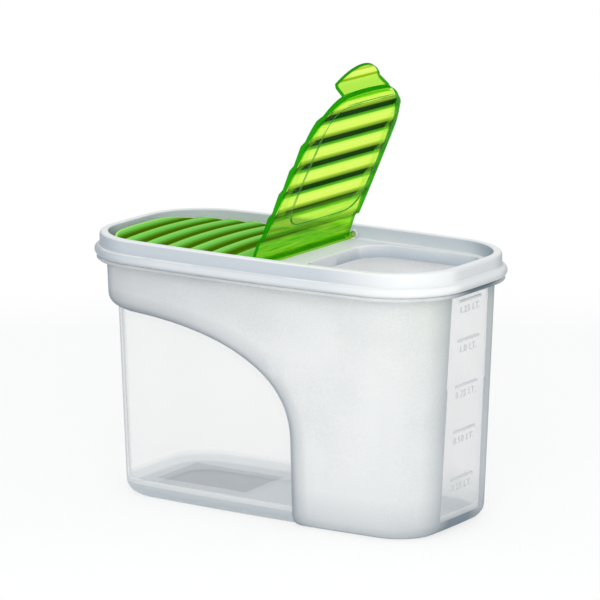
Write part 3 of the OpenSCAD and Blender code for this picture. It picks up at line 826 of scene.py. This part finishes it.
lid = dict(gap=0.25, skirtWall=1.5, innerWall=1.2, crestThick=1.6, crestRound=1.8, bead=2.35,
           deckDrop=6.3, deckThick=1.3, play=0.6, seatGap=0.2, wallTail=0.8, deckFillet=1.1,
           spoutStart=16.7, spoutEnd=6.5, spoutSide=12.0, spoutCorner=12.0, spoutWall=1.3,
           spoutRise=1.7, spoutSkirt=2.6, spoutFillet=0.9)
hinge = dict(x=2.3, rise=2.0, barrel=1.7, barrelGap=3.0, pin=1.4, pinGap=0.06, boss=2.3,
             bossLength=1.2, socket=0.6, pinEndGap=0.3, angle=64.4)
skirtIn = tub["lipStep"] + lid["gap"]
skirtOut = skirtIn + lid["skirtWall"]
channelIn = tub["lipStep"] - tub["lipWall"] - lid["gap"]
innerFace = channelIn - lid["innerWall"]
skirtBase = flangeTop + lid["seatGap"]
channelTop = tub["height"] + lid["play"]
crestZ = channelTop + lid["crestThick"]
deckZ = crestZ - lid["deckDrop"]
deckUnder = deckZ - lid["deckThick"]
hingeZ = deckZ + hinge["rise"]
hingeWall = (tub["topWidth"] / 2 + innerFace
             - tub["sideBowTop"] * (2 * hinge["x"] / tub["topLength"]) ** 2)
spoutLength = (tub["topLength"] / 2 + innerFace - lid["spoutEnd"] - hinge["x"] - lid["spoutStart"])
spoutWidth = tub["topWidth"] + 2 * (innerFace - lid["spoutSide"])
spoutX = hinge["x"] + lid["spoutStart"] + spoutLength / 2


def spoutOutline(off):
    return [(x + spoutX, y) for x, y in outline(
        spoutLength + 2 * off, spoutWidth + 2 * off, lid["spoutCorner"] + off,
        tub["endBow"] / 2, tub["endBow"] / 2)]


def rimSection():
    bead, beadZ, top = lid["bead"], skirtBase + lid["bead"], lid["crestRound"]
    arcs = [(skirtOut + bead * cos(a), beadZ + bead * sin(a))
            for a in (radians(-90 + 15 * i) for i in range(13))]
    corners = [(skirtIn, skirtBase, 0)] + [(u, v, 0) for u, v in arcs[:-1]]
    corners += [(skirtOut + 0.5, beadZ + bead, 0.4), (skirtOut, beadZ + bead + 0.6, 0.4),
                (skirtOut, crestZ, top), (innerFace, crestZ, 0.9),
                (innerFace, deckZ, lid["deckFillet"]), (innerFace - 2.2, deckZ, 0),
                (innerFace - 2.2, deckZ - 0.4, 0), (innerFace, deckUnder, 0),
                (innerFace, deckUnder - lid["wallTail"], 0.2),
                (channelIn, deckUnder - lid["wallTail"], 0.2), (channelIn, channelTop, 0.3),
                (skirtIn, channelTop, 0.3)]
    return rounded(corners, 6)


def spoutSection():
    wall, low, top = lid["spoutWall"], deckUnder - lid["spoutSkirt"], deckZ + lid["spoutRise"]
    return rounded([(0, low, 0.3), (wall, low, 0.3), (wall, deckUnder + 0.3, 0),
                    (wall + 1, deckUnder + 0.3, 0), (wall + 1.6, deckZ, 0),
                    (wall, deckZ, lid["spoutFillet"]), (wall, top, 0.6), (0, top, 0.6)], 6)


def deckPlate():
    # flat ring between the wall and the opening, one quad per direction seen from the opening
    def cut(loop, a):
        # where the ray from the opening's middle leaves the loop
        dx, dy = cos(a), sin(a)
        for (x0, y0), (x1, y1) in zip(loop, loop[1:] + loop[:1]):
            x0, x1 = x0 - spoutX, x1 - spoutX
            ex, ey = x1 - x0, y1 - y0
            turn = dx * ey - dy * ex
            if abs(turn) > 1e-12:
                t, s = (x0 * ey - y0 * ex) / turn, (x0 * dy - y0 * dx) / turn
                if t > 0 and 0 <= s <= 1:
                    return spoutX + t * dx, t * dy
        return None

    steps, sink = 240, 0.02
    outer, inner = rimOutline(innerFace - 0.6), spoutOutline(lid["spoutWall"] + 0.5)
    rings = []
    for loop, z in ((outer, deckZ - sink), (inner, deckZ - sink), (inner, deckUnder),
                    (outer, deckUnder)):
        rings += [(*cut(loop, 2 * pi * (i + 0.5) / steps), z) for i in range(steps)]
    return meshFrom("deck", rings, ringFaces(4, steps, closeRows=True))


def bossSection(side):
    near, far = hingeWall - hinge["bossLength"], hingeWall + 0.4
    hole, r = hinge["pin"] + hinge["pinGap"], hinge["boss"]
    return [(u, side * v) for u, v in rounded(
        [(hole, near, 0.15), (r, near, 0.6), (r, far, 0), (hole, far, 0)], 5)]


lidPaintedShade = dict(well=0.75, farCorner=0.5, cornerX=55.0, cornerRun=25.0, wellFloor=0.6, spoutFar=1.0,
               spoutNear=0.3, skirt=0.72, bead=0.42, skirtEnd=80.0, skirtRun=40.0, back=0.95,
               backEnd=20.0, backRun=115.0, backPower=1.3)


def paintedLidShade(x, y, z, facing):
    # painted shade: the well's walls see only each other, the opening's skirt is in shade, and so
    # is the outer skirt but for the pouring end; facing: how far a face looks into the well
    g = lidPaintedShade
    if deckZ + 0.3 < z < crestZ - 0.2 and facing > 0.3:
        corner = clamped((x - g["cornerX"]) / g["cornerRun"]) * clamped(y / g["cornerRun"])
        return ((g["well"] + g["farCorner"] * corner) * min(1, facing)
                * mix(g["wellFloor"], 1, (z - deckZ) / (crestZ - deckZ)))
    if z < deckZ and insideDistance(x - spoutX, y, spoutLength, spoutWidth,
                                    lid["spoutCorner"]) > -0.6:
        return g["spoutFar"] if y > 0 else g["spoutNear"]
    if facing < -0.5 and z < crestZ - 0.5:
        side = g["skirt"] if z > skirtBase + 2 * lid["bead"] else g["bead"]
        return max(side * clamped((g["skirtEnd"] - x) / g["skirtRun"]),
                   g["back"] * max(0, (g["backEnd"] - x) / g["backRun"]) ** g["backPower"])
    return 0.0


def makeLid():
    white = whitePolypropylene()
    deck = deckPlate()
    smoothBy(deck, 30)
    parts = [sweep("rim", rimOutline(0), 0, rimSection(), white, 38),
             sweep("spout", spoutOutline(0), 0, spoutSection(), white, 38), deck]
    for side in (-1, 1):
        boss = latheAlongY("boss", bossSection(side), (hinge["x"], hingeZ))
        smoothBy(boss, 35)
        parts.append(boss)
    mesh = joined("lid_frame_moulding", parts)
    mesh.materials.append(white)
    length = tub["topLength"] / 2 - tub["topWidth"] / 2
    shares = []
    for vertex in mesh.vertices:
        x, y, z = vertex.co / mm
        inwards = Vector((x - max(-length, min(length, x)), y)).normalized()
        facing = -(vertex.normal.x * inwards.x + vertex.normal.y * inwards.y)
        shares.append(paintedLidShade(x, y, z, facing))
    putValues(mesh, "well", shares)
    return addObject("lid_frame_moulding", mesh)


lidFrame = makeLid()
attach(lidFrame, "lid")
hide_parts("lid_frame")
print("lid made", len(lidFrame.data.polygons))

# the grid that both green sheets start from

def sheetRows(size, start, direction, step):
    # x of each row from the straight edge to the rounded end, closing up towards the end
    corner = size["length"] / 2 - size["corner"]
    n = max(2, int(abs(corner * direction - start) / step))
    rows = [mix(start, corner * direction, i / n) for i in range(n)]
    arcs = int(size["corner"] * pi / 2 / step)
    return rows + [direction * (corner + size["corner"] * sin(pi / 2 * i / arcs))
                   for i in range(arcs + 1)]


def sheetGrid(size, start, direction, step, columns):
    corner, b = size["length"] / 2 - size["corner"], size["width"] / 2 - size["corner"]
    grid = []
    for x in sheetRows(size, start, direction, step):
        over = max(abs(x) - corner, 0)
        half = b + sqrt(max(size["corner"] ** 2 - over ** 2, 0))
        row = []
        for i in range(columns + 1):
            t = 2 * i / columns - 1
            y = half * (1.5 * t - 0.5 * t ** 3)
            px, py = bowed(x, y, size["length"], size["width"], size["bow"], tub["sideBowTop"])
            row.append((px, py, insideDistance(x, y, size["length"], size["width"],
                                               size["corner"])))
        grid.append(row)
    return grid


def borderOf(rows, columns):
    # the grid's points round its edge, in order
    border = list(range(columns + 1))
    border += [j * (columns + 1) + columns for j in range(1, rows)]
    border += [(rows - 1) * (columns + 1) + i for i in range(columns - 1, -1, -1)]
    return border + [j * (columns + 1) for j in range(rows - 2, 0, -1)]


def solidFrom(name, top, under, rows, columns, values):
    # closes two grids of equal size into one solid; values: name -> (top list, under list)
    half = len(top)
    faces = []
    for j in range(rows - 1):
        for i in range(columns):
            a = j * (columns + 1) + i
            b = a + columns + 1
            faces += [(a, a + 1, b + 1, b), (half + a, half + b, half + b + 1, half + a + 1)]
    border = borderOf(rows, columns)
    faces += [(b, a, half + a, half + b) for a, b in zip(border, border[1:] + border[:1])]
    mesh = meshFrom(name, top + under, faces)
    for label, (upper, lower) in values.items():
        putValues(mesh, label, upper + lower)
    return mesh


# painted light: a share that tints a sheet's edges, for the light carried along its thickness
def paintedEdgeLight(distance, width):
    return clamped((width - distance) / (width * 0.4))


def sheetSize(gap, bow):
    return dict(length=tub["topLength"] + 2 * (innerFace - gap),
                width=tub["topWidth"] + 2 * (innerFace - gap),
                corner=tub["topCorner"] + innerFace - gap, bow=bow)


def ribbed(mesh, size, material, arch=0.0):
    # gives a flat sheet the ribs of its settings
    values = {"First Rib": "firstRib", "Pitch": "pitch", "Step": "step", "Slope": "slope"}
    values = {label: size[key] * mm for label, key in values.items()}
    sheet = bake(mesh, ribbedSheet, {**values, "Arch": arch, "Material": material})
    smoothBy(sheet, 40)
    return sheet


# flap

flap = dict(gap=3.9, thick=1.4, rise=1.7, rim=1.7, rimDrop=0.5, bow=3.0, firstRib=11.6, pitch=12.3,
            step=0.9, slope=3.0, plugGap=0.35, plugWall=1.3, plugDepth=1.8, edgeBand=0.12,
            rimPlain=0.8, ringLine=0.9)
tab = dict(width=35.0, flare=2.0, round=23.2, reach=5.2, lift=3.2, ramp=1.6, heel=1.2, ease=0.8,
           sink=3.4, bend=0.9, edgeBand=0.7)
flapSize = sheetSize(flap["gap"], flap["bow"])
flapFar = flapSize["length"] / 2 - hinge["x"]
opening = Matrix.Rotation(-radians(hinge["angle"]), 4, "Y")
barrelHalf = hingeWall - hinge["bossLength"] - hinge["barrelGap"]
plugMiddle = -flap["plugGap"] - flap["plugWall"] / 2

# colours along the flap, measured from the hinge: its place comes back from where it stands open
onFlap = dict(location=-(opening.inverted().to_3x3() @ Vector((hinge["x"], 0, hingeZ))) * mm,
              turn=(0, radians(hinge["angle"]), 0), reach=30, seeThrough=0.85, glow=0.75,
              tail=[(0.3, "#60CC10"), (0.5, "#92E420"), (0.7, "#C2F648")])
# painted light and shade: the bands draw bright yellow-green treads and near-black risers
flapLook = dict(
    onFlap, firstRib=flap["firstRib"], pitch=flap["pitch"], margin=0.72, fade=0.35,
    bands=[(0.0, "#EAFF74"), (0.12, "#E0FF6C"), (0.19, "#C6FC5A"), (0.25, "#5DB615"),
           (0.32, "#49A523"), (0.36, "#0C3A00"), (0.625, "#133C00"), (0.66, "#6F9628"),
           (0.74, "#9AC230"), (0.84, "#E2FF6A")],
    strength=[(0.32, "#000000"), (0.35, "#D0D0D0"), (0.70, "#D8D8D8"), (0.86, "#FFFFFF")])
tabLook = dict(
    onFlap, firstRib=88, pitch=14, margin=1, fade=0,
    bands=[(0.0, "#B4EE4C"), (0.2, "#BCF456"), (0.33, "#C8F85A"), (0.37, "#8FB81A"),
           (0.43, "#94C611"), (0.48, "#E6FF70"), (0.66, "#EEFF7C"), (0.71, "#A9C820"),
           (0.78, "#D8FA58")],
    strength=[(0.3, "#FFFFFF"), (0.8, "#FFFFFF")])


def plugDistance(x, y):
    # distance inwards from the middle of the plug ring's wall
    return insideDistance(x - spoutX, y, spoutLength + 2 * plugMiddle, spoutWidth + 2 * plugMiddle,
                          lid["spoutCorner"] + plugMiddle)


def flapSheet():
    columns = 96
    grid = sheetGrid(flapSize, hinge["x"], 1, 0.5, columns)
    rimLow = flap["rise"] - flap["thick"] / 2 - flap["step"] / 2 - flap["rimDrop"]
    top, under, held, edge, ring = [], [], [], [], []
    for row in grid:
        for x, y, d in row:
            local = x - hinge["x"]
            onRim = d < flap["rim"] and local > flap["firstRib"]
            top.append((local, y, flap["rise"] + flap["thick"] / 2))
            under.append((local, y, rimLow if onRim else flap["rise"] - flap["thick"] / 2))
            held.append(1.0 if onRim else 0.0)
            edge.append(paintedEdgeLight(min(d, local + 0.01), flap["edgeBand"]))
            ring.append(clamped(0.5 + plugDistance(x, y)))
    zeros, ones = [0.0] * len(top), [1.0] * len(top)
    return solidFrom("sheet", top, under, len(grid), columns, {
        "held": (zeros, held), "plain": (zeros, [flap["rimPlain"] * value for value in held]),
        "through": (ones, zeros), "edge": (edge, edge), "ring": (ring, ring)})


def tabLine():
    # side view of the tab's middle, with its bends rounded
    over = crestZ + tab["lift"] - hingeZ + flap["thick"] / 2
    foot = flapFar - tab["heel"]
    line = [(flapFar - tab["sink"], flap["rise"]), (foot, flap["rise"]),
            (foot + tab["ramp"], over - tab["ease"]), (flapFar + tab["ramp"], over),
            (flapFar + tab["ramp"] + 1, over)]
    points = [line[0]]
    for a, b, c in zip(line, line[1:], line[2:]):
        a, b, c = Vector(a), Vector(b), Vector(c)
        reach = min(tab["bend"], (a - b).length * 0.45, (c - b).length * 0.45)
        start, end = b + (a - b).normalized() * reach, b + (c - b).normalized() * reach
        points += [tuple(start.lerp(b, t).lerp(b.lerp(end, t), t)) for t in (0, 0.25, 0.5, 0.75, 1)]
    return points, over


def tabMesh():
    tip = tub["topLength"] / 2 + innerFace - hinge["x"] + tab["reach"]
    half, bend = tab["width"] / 2, tab["round"]
    turn = tip - bend + sqrt(bend ** 2 - half ** 2)
    line, over = tabLine()
    columns, tipRows = 48, 14
    top, under, edge = [], [], []
    start = line[0][0]

    def addRow(places, share):
        for i, ((x, z), (nx, nz), y) in enumerate(places):
            h = flap["thick"] / 2
            top.append((x + nx * h, y, z + nz * h))
            under.append((x - nx * h, y, z - nz * h))
            side = min(i, columns - i) / columns * 2 * half
            edge.append(max(paintedEdgeLight(side, tab["edgeBand"]), share) if x > flapFar - 1 else 0.0)

    for (ax, az), (x, z), (bx, bz) in zip(line[:1] + line, line, line[1:] + line[-1:]):
        if x > turn:
            break
        way = Vector((bx - ax, bz - az)).normalized()
        wide = half + tab["flare"] * (turn - x) / (turn - start)
        addRow([((x, z), (-way.y, way.x), wide * (2 * i / columns - 1))
                for i in range(columns + 1)], 0)
    for j in range(tipRows + 1):
        t = j / tipRows
        row = []
        for i in range(columns + 1):
            y = half * (2 * i / columns - 1)
            row.append(((mix(turn, tip - bend + sqrt(bend ** 2 - y ** 2), t), over), (0, 1), y))
        addRow(row, 1.0 if t == 1 else 0)
    return solidFrom("tab", top, under, len(top) // (columns + 1), columns, {
        "edge": (edge, edge), "through": ([1.0] * len(top), [0.0] * len(top))})


def barrelMesh():
    tip = hingeWall + hinge["socket"] - hinge["pinEndGap"]
    r, p, half = hinge["barrel"], hinge["pin"], barrelHalf
    side = [(0.001, -tip), (p - 0.25, -tip), (p, -tip + 0.25), (p, -half - 0.01), (r - 0.25, -half),
            (r, -half + 0.25)]
    section = side + [(u, -v) for u, v in reversed(side)]
    return latheAlongY("barrel", section, (0, 0), 40)


def webMesh():
    half, r = barrelHalf, hinge["barrel"] / 2
    points = [(x, y, z) for z in (0, flap["rise"])
              for x, y in ((-r, -half), (r, -half), (r, half), (-r, half))]
    return meshFrom("web", points, ringFaces(2, 4) + [(3, 2, 1, 0), (4, 5, 6, 7)])


def plugMesh(green):
    low = deckZ + lid["spoutRise"] - flap["plugDepth"] - hingeZ
    mid, top = flap["plugWall"] / 2, flap["rise"] - 0.3
    path = [(x - hinge["x"], y) for x, y in spoutOutline(plugMiddle)]
    plug = sweep("plugRing", path, 0, rounded([
        (-mid, low, 0.3), (0.35 - mid, low, 0), (mid - 0.35, low, 0), (mid, low, 0.3),
        (mid, low + 0.4, 0), (mid, top, 0), (-mid, top, 0), (-mid, low + 0.4, 0)], 4), green, 40)
    # painted shade: its rounded edges are drawn as two thin lines of gathered tint
    lines = []
    for vertex in plug.vertices:
        x, y, z = vertex.co / mm
        onEdge = z < low + 0.35 and abs(plugDistance(x + hinge["x"], y)) > mid - 0.3
        lines.append(flap["ringLine"] if onEdge else 0.0)
    putValues(plug, "edge", lines)
    putValues(plug, "through", [1.0] * len(lines))
    return plug


def makeFlap():
    green = tintedStyrene("green_styrene_flap", flapLook)
    parts = [ribbed(flapSheet(), flap, green), tabMesh(), plugMesh(green)]
    smoothBy(parts[1], 40)
    for extra in (barrelMesh(), webMesh()):
        smoothBy(extra, 40)
        putValues(extra, "plain", [1.0] * len(extra.vertices))
        parts.append(extra)
    mesh = joined("pour_flap", parts, 2)
    mesh.materials.append(green)
    mesh.materials.append(tintedStyrene("green_styrene_tab", tabLook))
    turned(mesh, Matrix.Translation((hinge["x"] * mm, 0, hingeZ * mm)) @ opening)
    return addObject("pour_flap", mesh)


pourFlap = makeFlap()
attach(pourFlap, "flap")
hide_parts("flip_flap")
pourFlap.visible_diffuse = False  # keeps a green cast off the white lid
print("flap made", len(pourFlap.data.polygons))

# fixed panel

panel = dict(gap=3.0, clear=4.8, thick=1.4, crown=4.6, arch=450.0, firstRib=29.3, pitch=12.2,
             step=0.9, slope=3.0, edgeBand=1.3)
# painted light and shade: pale green highlights and dark olive grooves along the ribs, and a pale
# yellow-green edge
panelLook = dict(
    firstRib=panel["firstRib"], pitch=panel["pitch"], margin=1, reach=90, seeThrough=0.1, fade=0,
    glow=0.12, shine=0.0, edge="#B8F87C", location=(hinge["x"] * mm, 0, 0), turn=(0, 0, pi),
    bands=[(0.0, "#74CC50"), (0.10, "#7CDA5C"), (0.20, "#88E266"), (0.28, "#A4EC70"),
           (0.34, "#88D458"), (0.38, "#568C20"), (0.43, "#3E6600"), (0.76, "#4A7400"),
           (0.84, "#568C10"), (0.92, "#62B038")],
    tail=[(0.25, "#62BC3C"), (0.5, "#78CC4C"), (0.75, "#92DC58")],
    strength=[(0.1, "#000000"), (0.2, "#FFFFFF")])


def panelSheet():
    columns, wall = 90, panel["thick"]
    grid = sheetGrid(sheetSize(panel["gap"], tub["endBow"]), hinge["x"] - panel["clear"], -1, 0.5,
                     columns)
    middle = deckZ + panel["crown"] - (wall + panel["step"]) / 2
    top, under, edge = [], [], []
    for row in grid:
        for x, y, d in row:
            local = hinge["x"] - x
            top.append((local, y, middle + wall / 2))
            under.append((local, y, middle - wall / 2))
            edge.append(paintedEdgeLight(min(d, local - panel["clear"] + 0.6), panel["edgeBand"]))
    sheet = solidFrom("panelSheet", top, under, len(grid), columns, {
        "edge": (edge, edge), "through": ([0.0] * len(top), [1.0] * len(top))})
    # the edge wall follows the same outline, without its crowded points
    border = [top[i][:2] for i in borderOf(len(grid), columns)]
    loop = border[:1]
    for p in border[1:]:
        if hypot(p[0] - loop[-1][0], p[1] - loop[-1][1]) > 0.3:
            loop.append(p)
    return sheet, loop


def makePanel():
    green = tintedStyrene("green_styrene_panel", panelLook)
    sheet, loop = panelSheet()
    sheet = ribbed(sheet, panel, green, 1 / (2 * panel["arch"] * mm))
    # edge wall from the deck up into the sheet
    thick, top = panel["thick"], panel["crown"] - panel["thick"] - panel["step"] - 1.6
    wall = sweep("panelWall", loop, deckZ, [(-thick, 0), (-0.02, 0), (-0.02, top), (-thick, top)],
                 green, 40)
    mesh = joined("rib_panel", [sheet, wall])
    mesh.materials.append(green)
    turned(mesh, Matrix.Translation((hinge["x"] * mm, 0, 0)) @ Matrix.Rotation(pi, 4, "Z"))
    return addObject("rib_panel", mesh)


ribPanel = makePanel()
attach(ribPanel, "lid")
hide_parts("ribbed_panel")
print("panel made", len(ribPanel.data.polygons))

# floor, light and finish

stage = dict(floor="#F7F8F8", sky="#FDFEFE", white="#FFFFFF", skyLevel=0.86, boxPower=1.7,
             boxSize=0.45, haze=0.72, fadeFrom=0.16, fadeTo=0.5, boxPlace=(0.32, -0.52, 0.42),
             reach=3000.0, sides=48, floorZ=-0.02)


def seenBy(tree, rays):
    # 1 for the rays that meet plain white
    path = addNode(tree, "ShaderNodeLightPath")
    seen = path.outputs[rays[0]]
    for ray in rays[1:]:
        seen = addNode(tree, "ShaderNodeMath", [seen, path.outputs[ray]], operation="MAXIMUM")
    return seen


def floorFinish():
    # matt paper sweep that fades to white away from the object
    material, tree, place = newMaterial("white_paper_matt")
    away = addNode(tree, "ShaderNodeVectorMath", [place], operation="LENGTH").outputs["Value"]
    fade = addNode(tree, "ShaderNodeMapRange", [away, stage["fadeFrom"], stage["fadeTo"]],
                   interpolation_type="SMOOTHSTEP")
    bright = addNode(tree, "ShaderNodeMath", [fade, stage["haze"]], operation="MAXIMUM")
    seen = seenBy(tree, ("Is Camera Ray", "Is Glossy Ray", "Is Transmission Ray"))
    share = addNode(tree, "ShaderNodeMath", [seen, bright], operation="MULTIPLY")
    paper = addNode(tree, "ShaderNodeBsdfDiffuse", {"Color": hexColor(stage["floor"])})
    white = addNode(tree, "ShaderNodeEmission", {"Color": hexColor(stage["white"]),
                                                 "Strength": 1.0})
    surface = addNode(tree, "ShaderNodeMixShader", [share, paper, white])
    addNode(tree, "ShaderNodeOutputMaterial", {"Surface": surface})
    return material


def addFloor():
    sides, reach, z = stage["sides"], stage["reach"], stage["floorZ"]
    turns = [2 * pi * i / sides for i in range(sides)]
    points = [(0, 0, z)] + [(reach * cos(a), reach * sin(a), z) for a in turns]
    mesh = meshFrom("floor", points, [(0, i + 1, (i + 1) % sides + 1) for i in range(sides)])
    mesh.materials.append(floorFinish())
    addObject("floor", mesh)


def addLight():
    world = bpy.data.worlds.new("studio")
    bpy.context.scene.world = world
    world.use_nodes = True
    tree = world.node_tree
    tree.nodes.clear()
    sky = addNode(tree, "ShaderNodeBackground", {"Color": hexColor(stage["sky"]),
                                                 "Strength": stage["skyLevel"]})
    white = addNode(tree, "ShaderNodeBackground", {"Color": hexColor(stage["white"]),
                                                   "Strength": 1.0})
    both = addNode(tree, "ShaderNodeMixShader", [
        seenBy(tree, ("Is Camera Ray", "Is Transmission Ray")), sky, white])
    addNode(tree, "ShaderNodeOutputWorld", {"Surface": both})
    # a softbox at the front right, near enough for the light to fall off towards the back end
    lamp = bpy.data.lights.new("softbox", "AREA")
    lamp.energy = stage["boxPower"]
    lamp.size = stage["boxSize"]
    place = Vector(stage["boxPlace"])
    addObject("softbox", lamp).matrix_world = (
        Matrix.Translation(place) @ place.to_track_quat("Z", "Y").to_matrix().to_4x4())


addFloor()
addLight()
bpy.context.scene.view_settings.view_transform = "Standard"
print("floor and light set")
